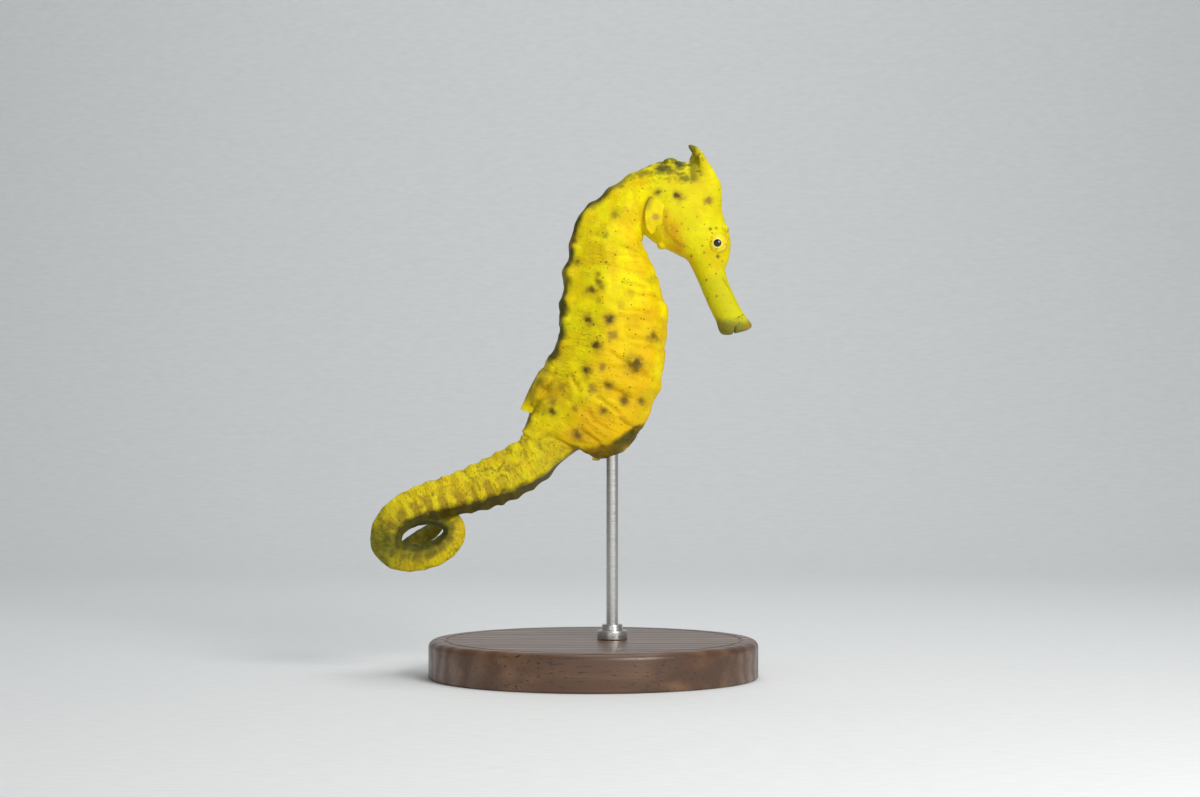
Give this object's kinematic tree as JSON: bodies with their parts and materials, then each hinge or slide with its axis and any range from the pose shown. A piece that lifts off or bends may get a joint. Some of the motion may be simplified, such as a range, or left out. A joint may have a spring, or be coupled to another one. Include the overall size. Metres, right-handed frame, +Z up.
{
  "type": "seahorse",
  "caption": "Life-size yellow seahorse with a crowned head, downturned snout, ringed trunk and curled tail, held by a slim rod on a round wooden display base.",
  "frame": {"origin": "centre of the stand's underside, on the table", "axes": "+X the way the seahorse faces, +Y towards its left side, +Z up"},
  "size_m": [0.0823, 0.07, 0.113],
  "materials": {
    "skin": "satin, speckled",
    "eye": "gloss",
    "fin": "satin",
    "wood": "satin varnish",
    "steel": "brushed"
  },
  "bodies": {
    "root": {"snout": "skin", "head": "skin", "coronet": "skin", "neck": "skin", "trunk_chest": "skin", "trunk_belly": "skin", "tail_base": "skin", "tail_middle": "skin", "tail_bend": "skin", "tail_loop": "skin", "tail_curl": "skin", "tail_tip": "skin", "eye_right": "eye", "eye_left": "eye", "dorsal_fin": "fin", "anal_fin": "fin", "pectoral_fin_right": "fin", "pectoral_fin_left": "fin", "stand_base": "wood", "stand_ferrule": "steel", "stand_rod": "steel"}
  },
  "joints": []
}
